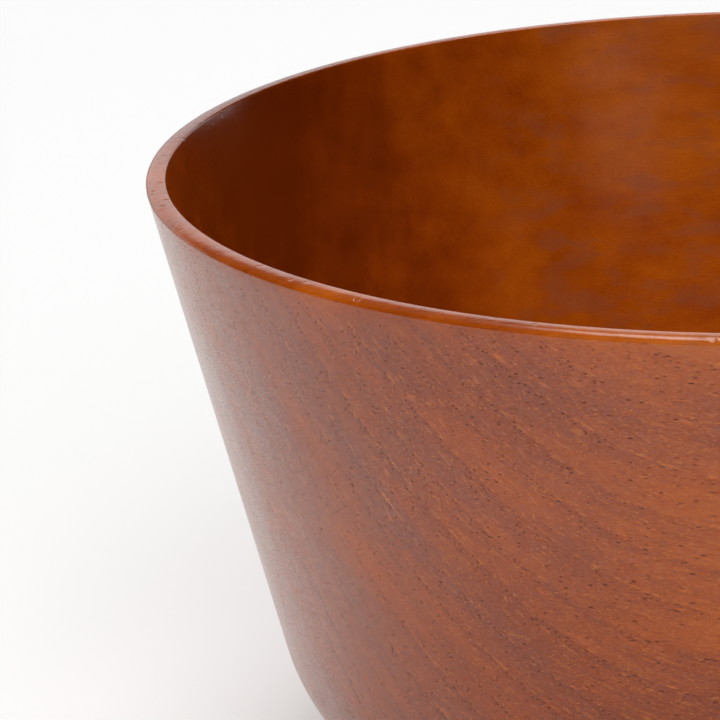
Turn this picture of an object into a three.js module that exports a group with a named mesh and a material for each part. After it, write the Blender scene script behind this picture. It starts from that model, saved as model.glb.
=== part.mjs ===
// A wooden serving bowl, turned inside and out from one block. Millimetres, +Z up.
// The origin is the centre of the circle that the foot ring rests on.
import * as THREE from "three";

// Overall sizes
const RIM_DIAMETER = 180; // across the widest ring, just below the lip's crest
const HEIGHT = 95; // from the table to the lip's crest

// Outside of the wall
const WALL_LEAN_DEG = 12.9; // how far the wall leans out from upright
const BASE_CORNER_ROUND = 24; // where the wall turns under towards the foot

// Lip
const LIP_WIDTH = 2.85; // level distance from the widest ring to the mouth's edge
const CREST_WIDTH = 1; // the level strip at the top of the lip, next to the mouth
const CROWN_DROP = 0.78; // how far the crown falls from the crest to the widest ring
const MOUTH_EDGE_ROUND = 0.4; // where the lip turns down into the bowl

// Inside
const WALL_AT_FLOOR = 4.6; // level thickness of the wall at the height of the floor
const INNER_CORNER_ROUND = 24; // where the wall turns in to the floor
const FLOOR_THICKNESS = 6; // wood above the foot's recess, on the axis
const FLOOR_DISH = 1; // how far the floor's centre lies below its edge

// Foot ring, left standing on the underside
const FOOT_DIAMETER = 92; // outside, at the table
const FOOT_HEIGHT = 4; // from the table to the bowl's underside
const FOOT_RING_WIDTH = 5.5; // at the table
const FOOT_RECESS = 3; // depth of the hollow inside the ring
const FOOT_TAPER = 0.6; // how much each flank of the ring leans over its height
const FOOT_ROOT_ROUND = 1.5; // where the ring's flanks meet the bowl
const FOOT_EDGE_ROUND = 0.8; // the ring's two lower edges

// Fineness of the solid
const SEGMENTS_ROUND = 72; // flats round the axis
const CHORD_GAP = 0.06; // the most that a chord may cut off an arc

const WOOD = { color: 0x9a4f2c, roughness: 0.42, metalness: 0 };

const wallLean = THREE.MathUtils.degToRad(WALL_LEAN_DEG);

// The outer part of the lip falls away from the crest to the widest ring.
const crownWidth = LIP_WIDTH - CREST_WIDTH;

// A point of the section: its distance from the axis and its height above the table.
const at = (radius, level) => new THREE.Vector2(radius, level);

// A corner of the section, softened by an arc.
const corner = (radius, level, round = 0) => ({ at: at(radius, level), round });

// How many chords an arc needs so that none cuts off more than CHORD_GAP.
function chordsFor(radius, angle) {
  const widest = 2 * Math.acos(Math.max(0, 1 - CHORD_GAP / radius));
  return Math.max(1, Math.ceil(Math.abs(angle) / widest));
}

// The lip's crown is a quarter of an ellipse. It starts where its slope is the wall's, a little
// below the widest ring, so that the wall runs into it without an edge.
function crownPoint(turn) {
  return at(
    RIM_DIAMETER / 2 - crownWidth * (1 - Math.cos(turn)),
    HEIGHT - CROWN_DROP * (1 - Math.sin(turn)),
  );
}

const crownStart = -Math.atan((Math.tan(wallLean) * CROWN_DROP) / crownWidth);
const wallTop = crownPoint(crownStart);

function crown() {
  const quarter = Math.PI / 2;
  const chords = chordsFor(crownWidth, quarter);
  const turns = Array.from({ length: chords + 1 }, (_, i) => (quarter * i) / chords);
  return [crownStart, ...turns].map((turn) => ({ at: crownPoint(turn), round: 0 }));
}

// The outside wall's radius at a level, along its straight flank.
const wallRadiusAt = (level) => wallTop.x - Math.tan(wallLean) * (wallTop.y - level);

// The foot: recess, inner flank, resting face and outer flank, up to the underside.
function foot() {
  const outer = FOOT_DIAMETER / 2;
  const inner = outer - FOOT_RING_WIDTH;
  const innerTaper = (FOOT_TAPER * FOOT_RECESS) / FOOT_HEIGHT;
  return [
    corner(0, FOOT_RECESS),
    corner(inner - innerTaper, FOOT_RECESS, FOOT_ROOT_ROUND),
    corner(inner, 0, FOOT_EDGE_ROUND),
    corner(outer, 0, FOOT_EDGE_ROUND),
    corner(outer + FOOT_TAPER, FOOT_HEIGHT, FOOT_ROOT_ROUND),
  ];
}

// The inside, from the mouth's edge down to the middle of the floor.
function inside() {
  const floorCentre = FOOT_RECESS + FLOOR_THICKNESS;
  const floorEdge = floorCentre + FLOOR_DISH;
  return [
    corner(RIM_DIAMETER / 2 - LIP_WIDTH, HEIGHT, MOUTH_EDGE_ROUND),
    corner(wallRadiusAt(floorEdge) - WALL_AT_FLOOR, floorEdge, INNER_CORNER_ROUND),
    corner(0, floorCentre),
  ];
}

// The signed angle through which the outline turns at a corner.
function turnAt(before, here, after) {
  const turn = after.clone().sub(here).angle() - here.clone().sub(before).angle();
  return THREE.MathUtils.euclideanModulo(turn + Math.PI, 2 * Math.PI) - Math.PI;
}

// Replaces each corner by its arc. An arc reaches along the straights on both sides of its
// corner, and where two arcs want more than the straight between them, both shrink to fit.
function roundedOutline(corners) {
  const last = corners.length - 1;
  const turns = corners.map(({ at: here }, i) =>
    i === 0 || i === last ? 0 : turnAt(corners[i - 1].at, here, corners[i + 1].at),
  );
  const reach = corners.map(({ round }, i) => round * Math.tan(Math.abs(turns[i]) / 2));
  const roomBetween = (i, j) => corners[i].at.distanceTo(corners[j].at) / (reach[i] + reach[j]);
  return corners.flatMap(({ at: here, round }, i) => {
    if (round === 0) return [here];
    const shrink = Math.min(1, roomBetween(i - 1, i), roomBetween(i, i + 1));
    return arcAt(corners[i - 1].at, here, turns[i], round * shrink, reach[i] * shrink);
  });
}

// The arc that rounds a corner, from its tangent point on the straight before it.
function arcAt(before, here, turn, radius, reach) {
  const along = here.clone().sub(before).normalize();
  const start = here.clone().addScaledVector(along, -reach);
  const side = at(-along.y, along.x).multiplyScalar(Math.sign(turn) * radius);
  const centre = start.clone().add(side);
  const chords = chordsFor(radius, turn);
  return Array.from({ length: chords + 1 }, (_, i) =>
    start.clone().rotateAround(centre, (turn * i) / chords),
  );
}

// The section, from the middle of the recess, round the outside and the lip, to the middle of
// the floor, with points that fall together left out.
function section() {
  const underside = corner(wallRadiusAt(FOOT_HEIGHT), FOOT_HEIGHT, BASE_CORNER_ROUND);
  const outline = roundedOutline([...foot(), underside, ...crown(), ...inside()]);
  return outline.filter((p, i) => i === 0 || p.distanceTo(outline[i - 1]) > CHORD_GAP / 2);
}

function turnedBowl() {
  const geometry = new THREE.LatheGeometry(section(), SEGMENTS_ROUND);
  geometry.rotateX(Math.PI / 2);
  const mesh = new THREE.Mesh(geometry, new THREE.MeshStandardMaterial(WOOD));
  mesh.name = "turned_bowl";
  return mesh;
}

const servingBowl = new THREE.Group();
servingBowl.add(turnedBowl());

export default servingBowl;
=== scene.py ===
import logging
import math
from dataclasses import dataclass
from enum import Enum
from typing import Any, Optional, Union

import bpy
import numpy as np
from mathutils import Matrix, Vector


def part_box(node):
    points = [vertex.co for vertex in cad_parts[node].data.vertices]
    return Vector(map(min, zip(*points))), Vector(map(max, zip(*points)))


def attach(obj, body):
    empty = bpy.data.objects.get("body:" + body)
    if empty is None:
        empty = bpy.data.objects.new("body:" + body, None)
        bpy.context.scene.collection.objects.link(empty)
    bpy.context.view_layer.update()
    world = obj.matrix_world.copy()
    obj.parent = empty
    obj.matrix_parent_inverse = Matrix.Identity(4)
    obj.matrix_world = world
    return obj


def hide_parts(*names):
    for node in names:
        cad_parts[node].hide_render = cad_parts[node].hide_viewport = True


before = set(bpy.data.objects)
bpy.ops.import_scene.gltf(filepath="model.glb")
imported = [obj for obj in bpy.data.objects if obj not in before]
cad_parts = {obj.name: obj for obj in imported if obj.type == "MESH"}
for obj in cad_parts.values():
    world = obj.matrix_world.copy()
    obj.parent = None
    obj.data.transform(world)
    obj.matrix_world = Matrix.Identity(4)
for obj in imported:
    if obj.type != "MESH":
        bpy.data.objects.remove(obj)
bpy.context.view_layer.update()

# The looks of a serving bowl that is turned from one block of reddish-brown hardwood and wiped
# with a thin satin lacquer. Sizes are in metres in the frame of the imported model: +Z up, and the
# origin at the centre of the circle that the foot ring rests on.

log = logging.getLogger("serving_bowl")
MM = 0.001

Span = tuple[float, float]
Triple = tuple[float, float, float]
Colour = tuple[float, float, float]
Stops = tuple[tuple[float, Colour], ...]
Operand = Union["Value", float, int]
Place = tuple[Operand, Operand, Operand]
Grain = tuple["Value", "Value", "Value"]

WHITE = (1.0, 1.0, 1.0, 1.0)
NOISE_MEAN = 0.5

# The Mix node's sockets for colours, which share their names with its sockets for numbers
MIX_FIRST, MIX_SECOND, MIX_RESULT = 6, 7, 2

# The mesh attribute that says how well the lacquer seals a place: fully inside, thinly outside
SEALED = "sealed"

# The UV map of the unrolled surface, through which the finish can be baked into pictures
UNROLLED = "OFBake"


class Operation(Enum):
    """What a Math node does with its numbers."""

    ADD = "ADD"
    SUBTRACT = "SUBTRACT"
    MULTIPLY = "MULTIPLY"
    DIVIDE = "DIVIDE"
    EXCEEDS = "GREATER_THAN"
    FRACTION = "FRACT"
    ROOT = "SQRT"


class Value:
    """A number that varies over a surface. Arithmetic on it adds Math nodes to its shader."""

    def __init__(self, shader: "Shader", socket: bpy.types.NodeSocket) -> None:
        """Wraps the output socket of a shader's node."""
        self.shader = shader
        self.socket = socket

    def _math(self, operation: Operation, *operands: Operand) -> "Value":
        """Adds one Math node.

        Args:
            operation: What the node does.
            operands: The numbers or values that it works on, in order.

        Returns:
            The node's result.
        """
        inputs = dict(enumerate(operands))
        node = self.shader.node("ShaderNodeMath", {"operation": operation.value}, inputs)
        return Value(self.shader, node.outputs[0])

    def __add__(self, other: Operand) -> "Value":
        """The sum."""
        return self._math(Operation.ADD, self, other)

    __radd__ = __add__

    def __sub__(self, other: Operand) -> "Value":
        """The difference."""
        return self._math(Operation.SUBTRACT, self, other)

    def __rsub__(self, other: Operand) -> "Value":
        """A number less this value."""
        return self._math(Operation.SUBTRACT, other, self)

    def __mul__(self, other: Operand) -> "Value":
        """The product."""
        return self._math(Operation.MULTIPLY, self, other)

    __rmul__ = __mul__

    def __truediv__(self, other: Operand) -> "Value":
        """The quotient."""
        return self._math(Operation.DIVIDE, self, other)

    def __gt__(self, other: Operand) -> "Value":
        """One where this value is the larger, else nought."""
        return self._math(Operation.EXCEEDS, self, other)

    def fract(self) -> "Value":
        """What is left above the next lower whole number."""
        return self._math(Operation.FRACTION, self)

    def root(self) -> "Value":
        """The square root."""
        return self._math(Operation.ROOT, self)

    def rise(self, start: Operand, end: Operand) -> "Value":
        """Goes smoothly from nought to one as this value goes from start to end.

        Args:
            start: The value where the rise starts.
            end: The value where it ends, which may be the lower one.

        Returns:
            The share of the rise, from nought to one.
        """
        node = self.shader.node(
            "ShaderNodeMapRange",
            {"interpolation_type": "SMOOTHSTEP"},
            {"Value": self, "From Min": start, "From Max": end},
        )
        return Value(self.shader, node.outputs["Result"])


@dataclass(frozen=True)
class Pattern:
    """How noise, or a lattice of scattered points, is stretched along three directions.

    Attributes:
        size: The length of one grain or cell in each direction.
        detail: How many finer layers are added to the noise.
        strength: How strong each finer layer is beside the one before.
        shift: How far the pattern is moved, in grains, so that no two fall together.
        edge: The noise, or the distance from a point, where something starts to show in the
            pattern, and where it is full.
        weight: How much the pattern counts in what it changes.
    """

    size: Triple
    detail: float = 1.0
    strength: float = 0.5
    shift: Triple = (0.0, 0.0, 0.0)
    edge: Span = (0.0, 1.0)
    weight: float = 1.0


class Shader:
    """One node tree, with short ways to add the nodes that this scene needs."""

    def __init__(self, owner: Union[bpy.types.Material, bpy.types.World]) -> None:
        """Empties the node tree of a material or a world.

        Args:
            owner: The material or the world.
        """
        owner.use_nodes = True
        self.tree = owner.node_tree
        self.tree.nodes.clear()

    def node(
        self,
        kind: str,
        settings: Optional[dict[str, Any]] = None,
        inputs: Optional[dict[Union[str, int], Any]] = None,
    ) -> bpy.types.Node:
        """Adds a node, sets its settings first, and then fills or links its sockets.

        Args:
            kind: The node's type.
            settings: The node's own settings. The setting "stops" is a colour ramp's list of
                places and colours.
            inputs: A number, colour, Value or output socket for each input, by name or place.

        Returns:
            The new node.
        """
        made = self.tree.nodes.new(kind)
        for name, setting in (settings or {}).items():
            if name == "stops":
                self._set_stops(made.color_ramp, setting)
            else:
                setattr(made, name, setting)
        for key, given in (inputs or {}).items():
            source = given.socket if isinstance(given, Value) else given
            if isinstance(source, bpy.types.NodeSocket):
                self.tree.links.new(source, made.inputs[key])
            else:
                made.inputs[key].default_value = source
        return made

    @staticmethod
    def _set_stops(ramp: bpy.types.ColorRamp, stops: Stops) -> None:
        """Gives a colour ramp its stops.

        Args:
            ramp: The ramp, as Blender makes it, with two stops.
            stops: The place and colour of each stop, from left to right.
        """
        while len(ramp.elements) < len(stops):
            ramp.elements.new(1.0)
        for element, (place, colour) in zip(ramp.elements, stops):
            element.position = place
            element.color = (*colour, 1.0)

    def along(self, place: bpy.types.NodeSocket, direction: Vector) -> Value:
        """How far the place in a vector socket lies along a direction of length one."""
        node = self.node(
            "ShaderNodeVectorMath", {"operation": "DOT_PRODUCT"}, {0: place, 1: tuple(direction)}
        )
        return Value(self, node.outputs["Value"])

    def _counted(self, place: Place, pattern: Pattern) -> bpy.types.NodeSocket:
        """Counts a place in a pattern's grains, so that a unit cube holds one grain."""
        grains = [
            number / size + shift if shift else number / size
            for number, size, shift in zip(place, pattern.size, pattern.shift)
        ]
        return self.node("ShaderNodeCombineXYZ", None, dict(zip("XYZ", grains))).outputs[0]

    def noise(self, place: Place, pattern: Pattern) -> Value:
        """Smooth noise from nought to one, with a mean of about a half.

        Args:
            place: The place's three numbers.
            pattern: The size and depth of the noise.

        Returns:
            The noise.
        """
        node = self.node(
            "ShaderNodeTexNoise",
            {"noise_dimensions": "3D"},
            {
                "Vector": self._counted(place, pattern),
                "Scale": 1.0,
                "Detail": pattern.detail,
                "Roughness": pattern.strength,
            },
        )
        return Value(self, node.outputs[0])

    def cells(self, place: Place, pattern: Pattern) -> tuple[Value, Value]:
        """Scattered points, one to a cell.

        Args:
            place: The place's three numbers.
            pattern: The size of the cells.

        Returns:
            The distance to the nearest point, in cells, and that point's own random number.
        """
        node = self.node(
            "ShaderNodeTexVoronoi",
            {"voronoi_dimensions": "3D", "feature": "F1"},
            {"Vector": self._counted(place, pattern), "Scale": 1.0, "Randomness": 1.0},
        )
        parts = self.node("ShaderNodeSeparateXYZ", None, {0: node.outputs["Color"]})
        return Value(self, node.outputs["Distance"]), Value(self, parts.outputs[0])

    def blend(self, share: Operand, first: Any, second: Any) -> bpy.types.NodeSocket:
        """Mixes two colours.

        Args:
            share: The share of the second colour, from nought to one.
            first: The first colour or its socket.
            second: The second colour or its socket.

        Returns:
            The mixed colour's socket.
        """
        full = [c if isinstance(c, bpy.types.NodeSocket) else (*c, 1.0) for c in (first, second)]
        node = self.node(
            "ShaderNodeMix",
            {"data_type": "RGBA", "clamp_factor": True},
            {"Factor": share, MIX_FIRST: full[0], MIX_SECOND: full[1]},
        )
        return node.outputs[MIX_RESULT]


@dataclass(frozen=True)
class Spot:
    """One place in the block, as the patterns of the wood read it.

    Attributes:
        shader: The shader that the patterns add their nodes to.
        grain: The distances along the fibres, across the rings and beside both, in millimetres.
        ring: The number of growth rings, whole at each ring's start.
        phase: The share of its ring that has grown.
        clouds: Wide soft differences in the wood, from nought to one.
        sealed: How well the lacquer seals the place, from nought to one.
    """

    shader: Shader
    grain: Grain
    ring: Value
    phase: Value
    clouds: Value
    sealed: Value

    def noise(self, pattern: Pattern) -> Value:
        """The noise of a pattern that lies along the grain."""
        return self.shader.noise(self.grain, pattern)

    def layered(self, pattern: Pattern, per_ring: float) -> Value:
        """The noise of a pattern that lies in the rings, with so many grains to each."""
        along, _, aside = self.grain
        return self.shader.noise((self.ring * per_ring, along, aside), pattern)

    def change(self, pattern: Pattern) -> Value:
        """How far a pattern's noise lifts or lowers something."""
        return (self.noise(pattern) - NOISE_MEAN) * pattern.weight

    def patches(self, pattern: Pattern) -> Value:
        """The cover of the patches where a pattern's noise is past its edge."""
        return self.noise(pattern).rise(*pattern.edge)


@dataclass(frozen=True)
class Block:
    """How the fibres and growth rings lie in the block. Lengths are in millimetres.

    Attributes:
        fibre_yaw_deg: How far the fibres are turned from +X, about +Z.
        ring_lean_deg: How far the way across the rings leans from the level.
        wander: How far the fibres may wander from side to side.
        pith_distance: From the bowl's axis to the pith.
        ring_width: The mean width of a ring.
        growth_change: How many rings the years of unequal growth may add.
    """

    fibre_yaw_deg: float = -5.4
    ring_lean_deg: float = -20.5
    wander: float = 3.2
    wander_across: Pattern = Pattern((70.0, 38.0, 38.0))
    wander_aside: Pattern = Pattern((38.0, 70.0, 38.0), shift=(0.0, 0.0, 9.0))
    pith_distance: float = 650.0
    ring_width: float = 3.6
    growth_change: float = 1.4
    growth: Pattern = Pattern((11.0, 1.0, 1.0), detail=2.0)

    def grain(self, shader: Shader, place: bpy.types.NodeSocket) -> Grain:
        """Turns a place into the block's own three directions, bent as real fibres bend.

        Args:
            shader: The shader to add nodes to.
            place: The place in millimetres.

        Returns:
            The distance along the fibres, across the growth rings, and beside them.
        """
        yaw = math.radians(self.fibre_yaw_deg)
        lean = math.radians(self.ring_lean_deg)
        fibre = Vector((math.cos(yaw), math.sin(yaw), 0.0))
        level = Vector((-math.sin(yaw), math.cos(yaw), 0.0))
        ring_normal = level * math.cos(lean) + Vector((0.0, 0.0, math.sin(lean)))
        along = shader.along(place, fibre)
        across = shader.along(place, ring_normal)
        aside = shader.along(place, fibre.cross(ring_normal))
        bend_across = shader.noise((along, across, aside), self.wander_across) - NOISE_MEAN
        bend_aside = shader.noise((aside, along, across), self.wander_aside) - NOISE_MEAN
        return along, across + bend_across * self.wander, aside + bend_aside * self.wander

    def ring(self, shader: Shader, across: Value, aside: Value) -> Value:
        """Counts growth rings outwards from the pith, with years of unequal growth.

        Args:
            shader: The shader to add nodes to.
            across: The distance across the rings.
            aside: The distance beside the fibres and the rings.

        Returns:
            The number of rings, whole at each ring's start.
        """
        out = across + self.pith_distance
        radius = (out * out + aside * aside).root()
        growth = shader.noise((radius, 0.0, 0.0), self.growth)
        return radius / self.ring_width + growth * self.growth_change


@dataclass(frozen=True)
class LightAndShadePatch:
    """A patch of painted shade, where the tone is set darker, or of painted light, where it is set
    lighter.

    Attributes:
        middle: Its middle, along the fibres, across the rings and beside both, in millimetres.
        reach: How far it reaches from there, in the same three directions.
        tone: The change of tone in the middle, which fades to nought at the reach.
    """

    middle: Triple
    reach: Triple
    tone: float

    def at(self, spot: Spot) -> Value:
        """How far the painted shade or light changes the tone of a place."""
        away = [
            (distance - middle) / reach
            for distance, middle, reach in zip(spot.grain, self.middle, self.reach)
        ]
        return sum((part * part for part in away), 0.0).root().rise(1.0, 0.0) * self.tone


@dataclass(frozen=True)
class Tone:
    """How light the wood is, from nought to one, with patches of painted shade and painted light.

    The heartwood starts and ends across the rings, and the dark early wood ends within a ring.
    The patterns' weights and the other shares are changes of tone.

    Attributes:
        bare: The mean tone where the lacquer is thin.
        sealed: What a full seal adds to it.
        layers_hidden: The share of the growth layers that a full seal hides.
        mottle: Soft mottling that only sealed wood shows.
        fine_hidden: The share of the fibres and specks that a full seal hides.
    """

    bare: float = 0.55
    sealed: float = 0.19
    heart: float = 0.20
    heart_starts: Span = (-99.0, -84.0)
    heart_ends: Span = (64.0, 26.0)
    early: float = 0.08
    early_ends: Span = (0.32, 0.04)
    layers: Pattern = Pattern((1.0, 26.0, 16.0), detail=4.0, strength=0.75, weight=0.6)
    layers_per_ring: float = 3.0
    layers_hidden: float = 0.75
    clouds: float = 0.8
    mottle: Pattern = Pattern(
        (12.0, 8.0, 6.0), detail=2.0, strength=0.6, shift=(0.0, 0.0, 3.0), weight=0.55
    )
    fibres: Pattern = Pattern((2.2, 0.3, 0.3), detail=3.0, strength=0.7, weight=0.55)
    specks: Pattern = Pattern((0.5, 0.13, 0.13), weight=0.45)
    fine_hidden: float = 0.3
    # Painted shade and painted light: patches that darken the tone on the inside left and high on
    # the front wall, and lighten it on the inside back and lower on the front wall, for light and
    # shade that the lamps don't give. High on the front wall the darkening is partly the wood's own
    # tone.
    light_and_shade_patches: tuple[LightAndShadePatch, ...] = (
        LightAndShadePatch((-47.0, -102.0, 54.0), (38.0, 24.0, 22.0), -0.32),
        LightAndShadePatch((-78.0, 2.0, 90.0), (40.0, 52.0, 60.0), -0.62),
        LightAndShadePatch((-6.0, -98.0, 30.0), (24.0, 40.0, 60.0), 0.10),
        LightAndShadePatch((-22.0, 48.0, 108.0), (40.0, 24.0, 24.0), 0.18),
        LightAndShadePatch((-31.0, 47.0, 74.0), (30.0, 20.0, 16.0), 0.10),
    )

    def at(self, spot: Spot) -> Value:
        """The tone of a place, with the patches of painted shade and painted light.

        Args:
            spot: The place.

        Returns:
            Its tone, from nought, the darkest colour, to one, the lightest.
        """
        across, sealed = spot.grain[1], spot.sealed
        heart = across.rise(*self.heart_starts) * across.rise(*self.heart_ends)
        layers = (spot.layered(self.layers, self.layers_per_ring) - NOISE_MEAN) * self.layers.weight
        fine = spot.change(self.fibres) + spot.change(self.specks)
        return (
            self.bare
            - heart * self.heart
            + layers * (1.0 - sealed * self.layers_hidden)
            + (spot.clouds - NOISE_MEAN) * self.clouds
            + (spot.noise(self.mottle) - NOISE_MEAN) * sealed * self.mottle.weight
            + fine * (1.0 - sealed * self.fine_hidden)
            - spot.phase.rise(*self.early_ends) * (1.0 - sealed) * self.early
            + sealed * self.sealed
            # Painted shade and painted light, in patches
            + sum((light_and_shade_patch.at(spot) for light_and_shade_patch in self.light_and_shade_patches), 0.0)
        )


@dataclass(frozen=True)
class Vessels:
    """One kind of vessel, each in a cell of a stretched lattice of scattered points.

    Attributes:
        cells: The pattern of the cells.
        empty: The share of the cells that hold no vessel.
        radius: The vessels' usual radius, as a share of a cell.
        crowding: How much smaller the empty share is where the vessels crowd.
        radii: The least radius and the spread above it, beside the usual one.
        core: The share of a vessel's radius that is fully open.
    """

    cells: Pattern
    empty: float
    radius: float
    crowding: float = 0.0
    radii: Span = (0.7, 0.5)
    core: float = 0.6

    def at(self, spot: Spot, crowd: Operand = 0.0) -> Value:
        """The cover of open vessels.

        Args:
            spot: The place.
            crowd: How far the vessels crowd there, from nought to one.

        Returns:
            The cover, from nought to one.
        """
        near, chance = spot.shader.cells(spot.grain, self.cells)
        least, spread = self.radii
        edge = self.radius * least + chance * self.radius * spread
        return near.rise(edge, edge * self.core) * (chance > self.empty - crowd * self.crowding)


@dataclass(frozen=True)
class Pores:
    """Cut vessels: wide ones crowded at each ring's start, and fine ones everywhere.

    Attributes:
        row_ends: Where in a ring the row ends, and where it is still full.
        row_breaks: The pattern of the stretches where the row shows.
        fine_ends: Where in a ring the fine vessels crowd no more, and where they fully do.
        fine_cover: How strongly the fine vessels show beside the wide ones.
        filled: The share of all the pores that a full seal fills.
        cover: How strongly an open pore shows.
    """

    rows: Vessels = Vessels(Pattern((1.8, 0.44, 0.44)), 0.97, 0.24, crowding=0.85)
    row_ends: Span = (0.17, 0.12)
    row_breaks: Pattern = Pattern((30.0, 12.0, 14.0), shift=(0.0, 0.0, 7.0), edge=(0.22, 0.42))
    scattered: Vessels = Vessels(Pattern((2.8, 0.75, 0.75), shift=(0.0, 4.0, 0.0)), 0.85, 0.155)
    fine: Vessels = Vessels(
        Pattern((2.0, 0.34, 0.34), shift=(0.0, 0.0, 5.0)), 0.88, 0.24, crowding=0.2
    )
    fine_ends: Span = (0.5, 0.1)
    fine_cover: float = 0.7
    filled: float = 0.85
    cover: float = 0.95

    def at(self, spot: Spot) -> Value:
        """The cover of open pores.

        Args:
            spot: The place.

        Returns:
            The cover, from nought to one.
        """
        row = spot.phase.rise(*self.row_ends) * spot.patches(self.row_breaks)
        wide_free = (1.0 - self.rows.at(spot, row)) * (1.0 - self.scattered.at(spot))
        fine = self.fine.at(spot, spot.phase.rise(*self.fine_ends))
        pores = 1.0 - wide_free * (1.0 - fine * self.fine_cover)
        return pores * (1.0 - spot.sealed * self.filled)


@dataclass(frozen=True)
class Streaks:
    """Short pale streaks that lie in the growth layers, and a broken pale line at each ring.

    Attributes:
        short: The pattern of the short streaks, with some grains of it to each ring.
        line_starts: Where in a ring its pale line starts, and where it is full.
        line_ends: Where the line ends, and where it is still full.
        cover: How strongly a streak shows on bare wood.
    """

    short: Pattern = Pattern((1.0, 2.5, 1.8), edge=(0.59, 0.72), weight=0.6)
    short_per_ring: float = 11.0
    flecks: Pattern = Pattern((0.5, 0.25, 0.25), shift=(0.0, 0.0, 2.0), edge=(0.60, 0.70))
    line_starts: Span = (0.93, 0.965)
    line_ends: Span = (1.0, 0.985)
    line_breaks: Pattern = Pattern((2.0, 2.0, 1.2), detail=2.0, edge=(0.5, 0.65))
    cover: float = 0.46

    def at(self, spot: Spot) -> Value:
        """The cover of pale streaks, which a full seal hides.

        Args:
            spot: The place.

        Returns:
            The cover, from nought to one.
        """
        short = spot.layered(self.short, self.short_per_ring).rise(*self.short.edge)
        line = spot.phase.rise(*self.line_starts) * spot.phase.rise(*self.line_ends)
        pale = (
            short * self.short.weight
            + spot.patches(self.flecks)
            + line * spot.patches(self.line_breaks)
        )
        return pale * (1.0 - spot.sealed)


@dataclass(frozen=True)
class PaintedSheen:
    """Painted sheen: greyish patches of reflection painted into the colour under a full seal, in
    the part of the block past a point along the fibres.

    Attributes:
        starts: Where along the fibres the painted sheen starts, and where it is full.
    """

    # The patches of painted sheen, a reflection painted into the colour
    sheen_patches: Pattern = Pattern(
        (10.0, 5.0, 4.0), 2.0, 0.6, shift=(0.0, 0.0, 1.0), edge=(0.48, 0.72), weight=0.55
    )
    starts: Span = (-50.0, -30.0)

    def at(self, spot: Spot) -> Value:
        """The cover of the painted sheen, from nought to one."""
        sheen_side = spot.grain[0].rise(*self.starts)
        return spot.patches(self.sheen_patches) * sheen_side * self.sheen_patches.weight * spot.sealed


@dataclass(frozen=True)
class Relief:
    """The grain that the thin lacquer doesn't fill, and the lip's small nicks and wear.

    The patterns' weights are heights in millimetres.

    Attributes:
        ripple: Raised fibres.
        ripple_filled: The share of their height that a full seal levels.
        nicks: The cells that may each hold one of the lip's nicks.
        nicks_missing: The share of the cells that hold none.
        lip_starts: The seal where the lip starts, and where it is full.
        lip_ends: The seal where the lip ends, and where it is still full.
    """

    ripple: Pattern = Pattern((1.6, 0.2, 0.2), detail=2.0, weight=0.012)
    ripple_filled: float = 0.8
    swell: Pattern = Pattern((7.0, 3.0, 3.0), weight=0.04)
    waver: Pattern = Pattern((1.6, 1.6, 1.6), detail=2.0, weight=0.05)
    nicks: Pattern = Pattern(
        (2.4, 2.4, 2.4), shift=(0.0, 0.0, 11.0), edge=(0.26, 0.12), weight=0.06
    )
    nicks_missing: float = 0.5
    lip_starts: Span = (0.4, 0.7)
    lip_ends: Span = (0.98, 0.88)
    pore_depth: float = 0.05

    def normal(self, spot: Spot, pores: Value) -> bpy.types.NodeSocket:
        """Bumps the surface.

        Args:
            spot: The place.
            pores: The cover of open pores.

        Returns:
            The bumped normal's socket.
        """
        lip = spot.sealed.rise(*self.lip_starts) * spot.sealed.rise(*self.lip_ends)
        near, chance = spot.shader.cells(spot.grain, self.nicks)
        nicks = near.rise(*self.nicks.edge) * (chance > self.nicks_missing)
        unfilled = 1.0 - spot.sealed * self.ripple_filled
        height = (
            spot.noise(self.ripple) * unfilled * self.ripple.weight
            + spot.noise(self.swell) * self.swell.weight
            + (spot.noise(self.waver) * self.waver.weight - nicks * self.nicks.weight) * lip
            - pores * self.pore_depth
        )
        bump = spot.shader.node(
            "ShaderNodeBump", None, {"Strength": 1.0, "Distance": MM, "Height": height}
        )
        return bump.outputs[0]


@dataclass(frozen=True)
class Lacquer:
    """The thin satin lacquer, which covers the wood unevenly.

    Attributes:
        sealed_smoothing: How much less rough sealed wood is.
        cover: The mean cover where it is thin.
        shine: The pattern of its finest unevenness.
        cloud_thinning: How much thinner it lies on light clouds than on dark ones.
        sealed_thinning: How much less of it lies on top of sealed wood.
        edge: The cover where it starts to show, and where it is full.
    """

    roughness: float = 0.235
    sealed_smoothing: float = 0.04
    pore_roughness: float = 0.7
    refraction: float = 1.5
    cover: float = 0.36
    shine: Pattern = Pattern((0.7, 0.2, 0.2), 2.0, 0.7, shift=(0.0, 0.0, 3.0), weight=3.0)
    cloud_thinning: float = 0.9
    sealed_thinning: float = 0.40
    edge: Span = (-0.1, 1.1)

    def weight(self, spot: Spot, pores: Value) -> Value:
        """The weight of the clear coat over the wood.

        Args:
            spot: The place.
            pores: The cover of open pores.

        Returns:
            The weight, from nought to one.
        """
        thinned = (spot.clouds - NOISE_MEAN) * self.cloud_thinning
        cover = self.cover + spot.change(self.shine) - thinned - spot.sealed * self.sealed_thinning
        return (cover - pores).rise(*self.edge)

    def dullness(self, spot: Spot, pores: Value) -> Value:
        """The roughness of the wood under the clear coat, which is rough in open pores."""
        smooth = self.roughness - spot.sealed * self.sealed_smoothing
        return smooth + pores * (self.pore_roughness - self.roughness)


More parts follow.
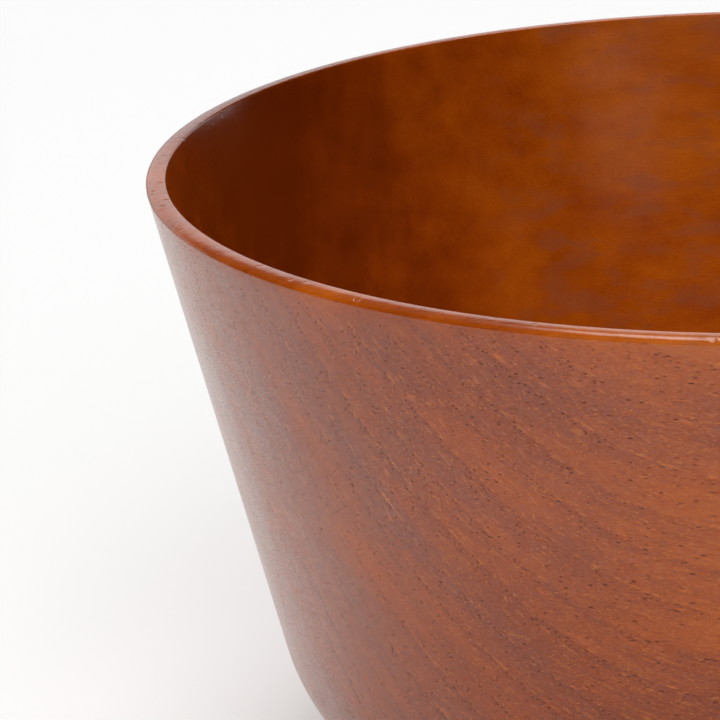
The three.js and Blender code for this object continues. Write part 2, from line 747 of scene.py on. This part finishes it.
@dataclass(frozen=True)
class LacqueredWood:
    """Open-pored reddish-brown hardwood under a thin satin lacquer, cut from one solid block.

    The pattern is a function of the place inside the block, so it runs unbroken over the lip and
    shows end grain, quarter grain and long grain where the turned surface cuts them. The mesh
    brings an attribute that says how well each place is sealed.

    Attributes:
        tones: The wood's colour at each tone, from the darkest to the lightest.
        clouds: The pattern of wide soft differences in the wood.
    """

    tones: Stops = (
        (0.0, (0.170, 0.022, 0.0008)),
        (0.35, (0.260, 0.039, 0.0012)),
        (0.6, (0.370, 0.064, 0.0016)),
        (1.0, (0.540, 0.122, 0.0040)),
    )
    pore_colour: Colour = (0.100, 0.017, 0.003)
    streak_colour: Colour = (0.640, 0.170, 0.012)
    # The greyish-mauve colour of the painted sheen, a reflection painted into the colour
    painted_sheen_colour: Colour = (0.300, 0.083, 0.033)
    clouds: Pattern = Pattern((34.0, 9.0, 20.0), detail=3.0, strength=0.6)
    block: Block = Block()
    tone: Tone = Tone()
    pores: Pores = Pores()
    streaks: Streaks = Streaks()
    # Painted sheen: greyish reflection patches painted into the colour
    painted_sheen: PaintedSheen = PaintedSheen()
    relief: Relief = Relief()
    lacquer: Lacquer = Lacquer()

    def material(self) -> bpy.types.Material:
        """Builds the finish.

        Returns:
            The material, which reads Object coordinates and the sealed share only.
        """
        material = bpy.data.materials.new("lacquered_wood")
        shader = Shader(material)
        spot = self._spot(shader)
        pores = self.pores.at(spot)
        surface = shader.node(
            "ShaderNodeBsdfPrincipled",
            None,
            {
                "Base Color": self._colour(spot, pores),
                "Roughness": self.lacquer.dullness(spot, pores),
                "IOR": self.lacquer.refraction,
                "Coat Weight": self.lacquer.weight(spot, pores),
                "Coat IOR": self.lacquer.refraction,
                "Coat Roughness": self.lacquer.roughness,
                "Normal": self.relief.normal(spot, pores),
            },
        )
        shader.node("ShaderNodeOutputMaterial", None, {"Surface": surface.outputs[0]})
        return material

    def _spot(self, shader: Shader) -> Spot:
        """Works out what the patterns read at each place.

        Args:
            shader: The shader to add nodes to.

        Returns:
            The place in the block.
        """
        place = shader.node("ShaderNodeTexCoord").outputs["Object"]
        millimetres = shader.node(
            "ShaderNodeVectorMath", {"operation": "SCALE"}, {0: place, "Scale": 1.0 / MM}
        ).outputs[0]
        seal = shader.node("ShaderNodeAttribute", {"attribute_name": SEALED}).outputs["Fac"]
        grain = self.block.grain(shader, millimetres)
        ring = self.block.ring(shader, *grain[1:])
        clouds = shader.noise(grain, self.clouds)
        return Spot(shader, grain, ring, ring.fract(), clouds, Value(shader, seal))

    def _colour(self, spot: Spot, pores: Value) -> bpy.types.NodeSocket:
        """Colours the wood by its tone, which holds patches of painted shade and painted light, and
        lays the streaks, the painted sheen and the pores over it.

        Args:
            spot: The place.
            pores: The cover of open pores.

        Returns:
            The colour's socket.
        """
        shader = spot.shader
        ramp = shader.node("ShaderNodeValToRGB", {"stops": self.tones}, {0: self.tone.at(spot)})
        streaks = self.streaks.at(spot) * self.streaks.cover
        with_streaks = shader.blend(streaks, ramp.outputs[0], self.streak_colour)
        # Painted sheen: greyish reflection patches painted into the colour
        with_painted_sheen = shader.blend(self.painted_sheen.at(spot), with_streaks, self.painted_sheen_colour)
        return shader.blend(pores * self.pores.cover, with_painted_sheen, self.pore_colour)


def put_in_scene(name: str, data: bpy.types.ID) -> bpy.types.Object:
    """Makes an object and links it to the scene.

    Args:
        name: The object's name.
        data: Its mesh, lamp or camera.

    Returns:
        The object.
    """
    made = bpy.data.objects.new(name, data)
    bpy.context.scene.collection.objects.link(made)
    return made


@dataclass
class TurnedBowl:
    """The bowl: wall, crowned lip, dished floor and foot ring, in one piece.

    Attributes:
        rim_radius: From the axis to the widest ring, just below the lip's crest.
        height: From the table to the lip's crest.
        mark_pitches: The least and greatest pitch of the tool marks along the section.
        mark_lobes: The least number of them round the axis, and one past the greatest.
        marks_past_crest: Inside, how far from the crest they start, and where they are full.
        marks_before_crest: The same outside.
        marks_clear_of_foot: Outside, how far from the axis they start, and where they are full.
        marks_clear_of_axis: The same inside.
        outside_marks: Their depth outside, as a share of the depth inside.
        seal_past_crest: How far past the crest the seal has each of its shares.
        chord_gap: The most that a chord may cut off an arc.
        least_gap: The gap under which two points fall together.
        even_share: How far the rings are unrolled at equal steps, and not by their real ones.
    """

    rim_radius: float
    height: float
    finish: LacqueredWood
    wall_lean_deg: float = 12.9
    base_corner_round: float = 24 * MM
    lip_width: float = 2.85 * MM
    crest_width: float = 1.0 * MM
    crown_drop: float = 0.78 * MM
    mouth_edge_round: float = 0.4 * MM
    wall_at_floor: float = 4.6 * MM
    inner_corner_round: float = 24 * MM
    floor_thickness: float = 6 * MM
    floor_dish: float = 1 * MM
    foot_radius: float = 46 * MM
    foot_height: float = 4 * MM
    foot_ring_width: float = 5.5 * MM
    foot_recess: float = 3 * MM
    foot_taper: float = 0.6 * MM
    foot_root_round: float = 1.5 * MM
    foot_edge_round: float = 0.8 * MM
    mark_depth: float = 0.03 * MM
    mark_pitches: Span = (7 * MM, 15 * MM)
    mark_lobes: tuple[int, int] = (3, 40)
    mark_waves: int = 28
    mark_seed: int = 11
    marks_past_crest: Span = (2 * MM, 10 * MM)
    marks_before_crest: Span = (4 * MM, 12 * MM)
    marks_clear_of_foot: Span = (50 * MM, 60 * MM)
    marks_clear_of_axis: Span = (30 * MM, 70 * MM)
    outside_marks: float = 0.06
    seal_past_crest: Triple = (-4 * MM, -2 * MM, 3 * MM)
    seal_shares: Triple = (0.0, 0.75, 1.0)
    segments_round: int = 360
    crown_steps: int = 20
    fewest_arc_points: int = 3
    longest_step: float = 1.6 * MM
    chord_gap: float = 0.006 * MM
    least_gap: float = 1e-7
    even_share: float = 0.4

    @property
    def _crown_width(self) -> float:
        """The level distance from the crest to the widest ring."""
        return self.lip_width - self.crest_width

    @property
    def _wall_slope(self) -> float:
        """How far the wall leans out for each step up."""
        return math.tan(math.radians(self.wall_lean_deg))

    @property
    def _crown_start(self) -> float:
        """The angle where the crown's slope is the wall's, so that they meet without an edge."""
        return -math.atan(self._wall_slope * self.crown_drop / self._crown_width)

    def _crown_point(self, turn: float) -> Span:
        """A point of the lip's crown, a quarter of an ellipse.

        Args:
            turn: The angle on the ellipse: nought at the widest ring, a right angle at the crest.

        Returns:
            Its distance from the axis and its height above the table.
        """
        radius = self.rim_radius - self._crown_width * (1 - math.cos(turn))
        return radius, self.height - self.crown_drop * (1 - math.sin(turn))

    def _wall_radius(self, level: float) -> float:
        """The outside wall's radius at a height above the table, along its straight flank."""
        radius, top = self._crown_point(self._crown_start)
        return radius - self._wall_slope * (top - level)

    def _outside_corners(self) -> list[Triple]:
        """The corners from the middle of the recess to the wall's foot.

        Returns:
            The radius, level and rounding of each corner.
        """
        outer = self.foot_radius
        inner = outer - self.foot_ring_width
        inner_taper = self.foot_taper * self.foot_recess / self.foot_height
        return [
            (0.0, self.foot_recess, 0.0),
            (inner - inner_taper, self.foot_recess, self.foot_root_round),
            (inner, 0.0, self.foot_edge_round),
            (outer, 0.0, self.foot_edge_round),
            (outer + self.foot_taper, self.foot_height, self.foot_root_round),
            (self._wall_radius(self.foot_height), self.foot_height, self.base_corner_round),
        ]

    def _crown_corners(self) -> list[Triple]:
        """The crown's points, each a corner without rounding."""
        turns = np.linspace(0.0, math.pi / 2, self.crown_steps)
        return [(*self._crown_point(turn), 0.0) for turn in (self._crown_start, *turns)]

    def _inside_corners(self) -> list[Triple]:
        """The corners from the mouth's edge down to the middle of the floor.

        Returns:
            The radius, level and rounding of each corner.
        """
        floor_centre = self.foot_recess + self.floor_thickness
        floor_edge = floor_centre + self.floor_dish
        wall_foot = self._wall_radius(floor_edge) - self.wall_at_floor
        return [
            (self.rim_radius - self.lip_width, self.height, self.mouth_edge_round),
            (wall_foot, floor_edge, self.inner_corner_round),
            (0.0, floor_centre, 0.0),
        ]

    def _rounded(self, corners: list[Triple]) -> np.ndarray:
        """Replaces each rounded corner by its arc.

        An arc touches the straights on both sides of its corner at a distance of its radius
        times the tangent of half the turn, and turns evenly from the one to the other.

        Args:
            corners: The radius, level and rounding of each corner.

        Returns:
            The outline's points, one row each.
        """
        points = [np.array([corners[0][:2]])]
        for before, (*here, rounding), after in zip(corners, corners[1:], corners[2:]):
            middle = np.array(here)
            arrive = middle - before[:2]
            leave = np.array(after[:2]) - middle
            if rounding:
                points.append(self._arc(middle, arrive, leave, rounding))
            else:
                points.append(middle[None])
        points.append(np.array([corners[-1][:2]]))
        return np.concatenate(points)

    def _arc(
        self, corner: np.ndarray, arrive: np.ndarray, leave: np.ndarray, rounding: float
    ) -> np.ndarray:
        """The arc that rounds one corner.

        Args:
            corner: The corner.
            arrive: The way to it from the corner before.
            leave: The way from it to the corner after.
            rounding: The arc's radius.

        Returns:
            The arc's points, one row each.
        """
        turn = math.atan2(arrive[0] * leave[1] - arrive[1] * leave[0], arrive @ leave)
        heading = arrive / np.linalg.norm(arrive)
        start = corner - heading * rounding * math.tan(abs(turn) / 2)
        across = math.copysign(1.0, turn) * np.array([-heading[1], heading[0]])
        chord = 2 * math.acos(1 - self.chord_gap / rounding)
        count = max(self.fewest_arc_points, math.ceil(abs(turn) / chord) + 1)
        angles = np.linspace(0.0, abs(turn), count)[:, None]
        return start + rounding * (np.sin(angles) * heading + (1 - np.cos(angles)) * across)

    def _profile(self) -> np.ndarray:
        """The section from the middle of the recess, over the lip, to the middle of the floor.

        Straights are cut into equal steps no longer than the longest step.

        Returns:
            The radius and level of each point, one row each.
        """
        corners = self._outside_corners() + self._crown_corners() + self._inside_corners()
        outline = self._rounded(corners)
        lengths = np.linalg.norm(np.diff(outline, axis=0), axis=1)
        outline = outline[np.insert(lengths > self.least_gap, 0, True)]
        lengths = np.linalg.norm(np.diff(outline, axis=0), axis=1)
        steps = np.maximum(1, np.ceil(lengths / self.longest_step)).astype(int)
        first = np.repeat(np.arange(len(steps)), steps)
        within = np.arange(len(first)) - np.repeat(np.cumsum(steps) - steps, steps)
        share = (within / steps[first])[:, None]
        points = outline[first] * (1 - share) + outline[first + 1] * share
        return np.vstack([points, outline[-1]])

    def _tool_marks(self, path: np.ndarray, angle: np.ndarray) -> np.ndarray:
        """How far the gouge left the surface above or below its even line.

        Many shallow waves are added up, each the cosine of its own pitch along the section and
        its own whole number of lobes round the axis, so that they close on themselves and look
        irregular, like the strokes of a hand-held gouge.

        Args:
            path: The distance along the section, down the first axis of the grid.
            angle: The angle round the axis, along the second.

        Returns:
            The height of the marks on the grid.
        """
        chance = np.random.default_rng(self.mark_seed)
        total = np.zeros(np.broadcast(path, angle).shape)
        for _ in range(self.mark_waves):
            pitch = chance.uniform(*self.mark_pitches)
            lobes = chance.integers(*self.mark_lobes) * chance.choice((-1, 1))
            start = chance.uniform(0.0, math.tau)
            total += np.cos(math.tau * path / pitch + lobes * angle + start)
        return total * self.mark_depth / math.sqrt(self.mark_waves / 2)

    def build(self) -> bpy.types.Object:
        """Makes the bowl's mesh, dresses it and puts it into the scene.

        Returns:
            The bowl's object.
        """
        profile = self._profile()
        path = np.insert(np.cumsum(np.linalg.norm(np.diff(profile, axis=0), axis=1)), 0, 0.0)
        past_crest = path - path[np.argmax(profile[:, 1])]
        rings = self._carved(profile, path, past_crest)[1:-1]
        mesh = self._revolved_mesh(rings, profile[0], profile[-1])
        sealed = np.interp(past_crest[1:-1], self.seal_past_crest, self.seal_shares)
        shares = np.append(np.repeat(sealed, self.segments_round), sealed[[0, -1]])
        mesh.attributes.new(SEALED, "FLOAT", "POINT").data.foreach_set("value", shares)
        unrolled = mesh.uv_layers.new(name=UNROLLED, do_init=False)
        unrolled.uv.foreach_set("vector", self._unroll(path).ravel())
        mesh.materials.append(self.finish.material())
        log.info("bowl: %d faces", len(mesh.polygons))
        return put_in_scene("bowl", mesh)

    def _carved(
        self, profile: np.ndarray, path: np.ndarray, past_crest: np.ndarray
    ) -> np.ndarray:
        """Turns the section round the axis and cuts the tool marks into it.

        A point at angle a and profile (r, z) lies at (r cos a, r sin a, z). The tool marks move
        it along the section's normal.

        Args:
            profile: The radius and level of each point of the section.
            path: The distance of each along the section.
            past_crest: The same distance, counted from the lip's crest.

        Returns:
            The grid of points: rings by segments by three coordinates.
        """
        tangent = np.gradient(profile, axis=0)
        tangent /= np.linalg.norm(tangent, axis=1)[:, None]
        normal = np.stack([tangent[:, 1], -tangent[:, 0]], axis=1)
        angle = np.linspace(0.0, math.tau, self.segments_round, endpoint=False)
        marks = self._tool_marks(path[:, None], angle[None, :])
        marks *= self._mark_share(profile[:, 0], past_crest)[:, None]
        radius = profile[:, :1] + marks * normal[:, :1]
        level = profile[:, 1:] + marks * normal[:, 1:]
        return np.stack([radius * np.cos(angle), radius * np.sin(angle), level], -1)

    def _mark_share(self, radius: np.ndarray, past_crest: np.ndarray) -> np.ndarray:
        """How strongly the tool marks show along the section.

        They show inside, fade out over the lip and at the floor's middle, and are faint outside.

        Args:
            radius: The distance of each point from the axis.
            past_crest: The distance along the section from the lip's crest.

        Returns:
            The share at each point, from nought to one.
        """
        full = (0.0, 1.0)
        inside = np.interp(past_crest, self.marks_past_crest, full)
        outside = np.interp(-past_crest, self.marks_before_crest, full) * self.outside_marks
        clear_of_axis = np.interp(radius, self.marks_clear_of_axis, full)
        clear_of_foot = np.interp(radius, self.marks_clear_of_foot, full)
        return inside * clear_of_axis + outside * clear_of_foot

    def _unroll(self, path: np.ndarray) -> np.ndarray:
        """Unrolls the whole surface onto a square that wraps round without a seam.

        The angle round the axis goes across the square, and the section goes up it. A ring's
        height is its share of the section's length blended with its share of the count of rings,
        so that the lip's narrow rings get room too.

        Args:
            path: The distance along the section of each point, from pole to pole.

        Returns:
            The place on the square of each corner of each face, in the order of the mesh.
        """
        count = self.segments_round
        even = np.linspace(0.0, 1.0, len(path))
        up = path / path[-1] * (1 - self.even_share) + even * self.even_share
        left = np.arange(count) / count
        right = left + 1 / count
        across = np.stack([left, right, right, left], -1)[None]
        height = np.stack([up[1:-2], up[1:-2], up[2:-1], up[2:-1]], -1)[:, None]
        quads = np.stack(np.broadcast_arrays(across, height), -1).reshape(-1, 2)
        middle = (left + right) / 2
        start = np.stack(np.broadcast_arrays([right, left, middle], [[up[1]], [up[1]], [0.0]]), -1)
        end = np.stack(np.broadcast_arrays([left, right, middle], [[up[-2]], [up[-2]], [1.0]]), -1)
        fans = [fan.transpose(1, 0, 2).reshape(-1, 2) for fan in (start, end)]
        return np.concatenate([quads, *fans]).astype(np.float32)

    def _revolved_mesh(
        self, grid: np.ndarray, first_pole: np.ndarray, last_pole: np.ndarray
    ) -> bpy.types.Mesh:
        """Joins a grid of rings into a closed mesh with a pole at each end.

        Args:
            grid: Rings by segments by three coordinates.
            first_pole: The radius and level of the pole before the first ring.
            last_pole: The radius and level of the pole after the last ring.

        Returns:
            The mesh, with its faces pointing outwards, smoothly shaded.
        """
        rings, segments = grid.shape[:2]
        count = rings * segments
        index = np.arange(count).reshape(rings, segments)
        beside = np.roll(index, -1, axis=1)
        quads = np.stack([index[:-1], beside[:-1], beside[1:], index[1:]], -1).reshape(-1, 4)
        start_fan = np.stack([beside[0], index[0], np.full(segments, count)], -1)
        end_fan = np.stack([index[-1], beside[-1], np.full(segments, count + 1)], -1)
        poles = [(0.0, 0.0, first_pole[1]), (0.0, 0.0, last_pole[1])]
        points = np.vstack([grid.reshape(-1, 3), poles])
        mesh = bpy.data.meshes.new("bowl")
        faces = quads.tolist() + start_fan.tolist() + end_fan.tolist()
        mesh.from_pydata(points.tolist(), [], faces)
        mesh.shade_smooth()
        return mesh


@dataclass(frozen=True)
class SoftLamp:
    """A flat rectangular lamp that is aimed at the bowl.

    Attributes:
        lie: The direction of its long side, before it is squared up with its aim.
        power: In watts.
        mirrored: Whether the bowl's gloss shows it.
    """

    name: str
    place: Triple
    length: float
    width: float
    lie: Triple
    power: float
    mirrored: bool = True
    aim: Triple = (0.0, 0.0, 0.05)

    def build(self) -> None:
        """Puts the lamp into the scene."""
        light = bpy.data.lights.new(self.name, "AREA")
        light.shape = "RECTANGLE"
        light.size = self.length
        light.size_y = self.width
        light.energy = self.power
        lamp = put_in_scene(self.name, light)
        place = Vector(self.place)
        back = (place - Vector(self.aim)).normalized()
        short = back.cross(Vector(self.lie)).normalized()
        turned = Matrix((short.cross(back), short, back)).transposed()
        lamp.matrix_world = Matrix.Translation(place) @ turned.to_4x4()
        lamp.visible_glossy = self.mirrored
        lamp.visible_camera = False


@dataclass
class Studio:
    """The pale floor and backdrop, the soft lights and the camera.

    Attributes:
        floor_glow: The share of white that the camera sees where the bowl's shadow is full.
        shadow_reach: Where the shadow's floor starts to turn white for the camera, and is.
        focal_pixels: The camera's focal length, counted in the picture's pixels.
    """

    floor_reach: float = 2.6
    backdrop_distance: float = 1.8
    backdrop_height: float = 0.95
    backdrop_round: float = 0.25
    backdrop_steps: int = 24
    floor_colour: Colour = (0.98, 0.98, 0.975)
    floor_glow: float = 0.2
    shadow_reach: Span = (0.15, 0.9)
    lamps: tuple[SoftLamp, ...] = (
        SoftLamp("rear_lamp", (0.10, 0.49, 0.92), 0.42, 0.42, (1.0, 0.0, 0.0), 2.4),
        SoftLamp("rear_fill", (-0.09, 0.66, 0.80), 0.80, 0.60, (1.0, 0.0, 0.0), 4.0, False),
        SoftLamp("front_fill", (-0.12, -0.64, 0.83), 1.0, 1.0, (1.0, 0.0, 0.0), 8.9, False),
        SoftLamp("left_fill", (-0.95, -0.10, 0.50), 0.8, 0.8, (0.0, 1.0, 0.0), 1.5, False),
        SoftLamp("low_card", (0.45, -1.0, 0.25), 0.32, 0.28, (1.0, 0.0, 0.0), 0.12),
    )
    image_side: int = 720
    focal_pixels: float = 3000.0
    sensor_width: float = 36.0
    camera_place: Triple = (-0.06017, -0.42258, 0.20863)
    camera_down_deg: float = 18.84
    camera_roll_deg: float = -2.596
    camera_range: Span = (0.01, 20.0)

    def build(self) -> None:
        """Makes the stage, the lights and the camera."""
        self._sweep()
        for lamp in self.lamps:
            lamp.build()
        self._world()
        self._camera()

    def _sweep(self) -> None:
        """A floor that turns up into a backdrop, as one sheet carried along a path.

        The path runs level from front to back, turns up by a quarter circle, and rises.
        """
        turn = np.linspace(0.0, math.pi / 2, self.backdrop_steps)
        back = self.backdrop_distance - self.backdrop_round * (1 - np.sin(turn))
        level = self.backdrop_round * (1 - np.cos(turn))
        front = (-self.floor_reach, 0.0)
        top = (self.backdrop_distance, self.backdrop_height)
        path = np.vstack([front, np.stack([back, level], axis=1), top])
        sides = (-self.floor_reach, self.floor_reach)
        points = [(x, y, z) for y, z in path.tolist() for x in sides]
        faces = [(2 * i, 2 * i + 1, 2 * i + 3, 2 * i + 2) for i in range(len(path) - 1)]
        mesh = bpy.data.meshes.new("sweep")
        mesh.from_pydata(points, [], faces)
        mesh.shade_smooth()
        mesh.materials.append(self._sweep_finish())
        put_in_scene("sweep", mesh)

    def _sweep_finish(self) -> bpy.types.Material:
        """Matt pale paper. Its upright part shows as white to the camera and in reflections.

        The floor shows as white to the camera too, away from the bowl, and keeps the bowl's
        shadow round it.

        Returns:
            The material.
        """
        material = bpy.data.materials.new("pale_paper")
        shader = Shader(material)
        paper = shader.node("ShaderNodeBsdfDiffuse", None, {"Color": (*self.floor_colour, 1.0)})
        glow = shader.node("ShaderNodeEmission", None, {"Color": WHITE})
        place = shader.node("ShaderNodeTexCoord").outputs["Object"]
        sideways, back, height = (shader.along(place, axis) for axis in Matrix.Identity(3))
        away = (sideways * sideways + back * back).root()
        upright = height.rise(0.0, self.backdrop_round)
        shaded = (1.0 - self.floor_glow) * (1.0 - away.rise(*self.shadow_reach))
        rays = shader.node("ShaderNodeLightPath")
        camera = Value(shader, rays.outputs["Is Camera Ray"])
        glossy = Value(shader, rays.outputs["Is Glossy Ray"])
        share = camera * (1.0 - (1.0 - upright) * shaded) + glossy * upright
        both = shader.node(
            "ShaderNodeMixShader", None, {0: share, 1: paper.outputs[0], 2: glow.outputs[0]}
        )
        shader.node("ShaderNodeOutputMaterial", None, {"Surface": both.outputs[0]})
        return material

    def _world(self) -> None:
        """White where the camera looks past the stage, and dark to the bowl."""
        world = bpy.data.worlds.new("studio")
        shader = Shader(world)
        camera_ray = shader.node("ShaderNodeLightPath").outputs["Is Camera Ray"]
        white = {"Color": WHITE, "Strength": camera_ray}
        background = shader.node("ShaderNodeBackground", None, white)
        shader.node("ShaderNodeOutputWorld", None, {"Surface": background.outputs[0]})
        bpy.context.scene.world = world

    def _camera(self) -> None:
        """The camera at the photograph's place, angle and field of view."""
        data = bpy.data.cameras.new("camera")
        data.sensor_width = self.sensor_width
        data.lens = self.focal_pixels / self.image_side * self.sensor_width
        data.clip_start, data.clip_end = self.camera_range
        down = math.radians(self.camera_down_deg)
        roll = math.radians(self.camera_roll_deg)
        ahead = Vector((0.0, math.cos(down), -math.sin(down)))
        level = Vector((1.0, 0.0, 0.0))
        up = Vector((0.0, math.sin(down), math.cos(down)))
        right = level * math.cos(roll) + up * math.sin(roll)
        above = up * math.cos(roll) - level * math.sin(roll)
        turned = Matrix((right, above, -ahead)).transposed()
        camera = put_in_scene("camera", data)
        camera.matrix_world = Matrix.Translation(self.camera_place) @ turned.to_4x4()
        bpy.context.scene.camera = camera
        bpy.context.scene.view_settings.view_transform = "Standard"


def main() -> None:
    """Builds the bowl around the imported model, and the studio around the bowl."""
    logging.basicConfig(level=logging.INFO)
    lowest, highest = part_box("turned_bowl")
    bowl = TurnedBowl(
        rim_radius=(highest.x - lowest.x) / 2,
        height=highest.z - lowest.z,
        finish=LacqueredWood(),
    ).build()
    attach(bowl, "root")
    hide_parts("turned_bowl")
    Studio().build()


if __name__ == "__main__":
    main()
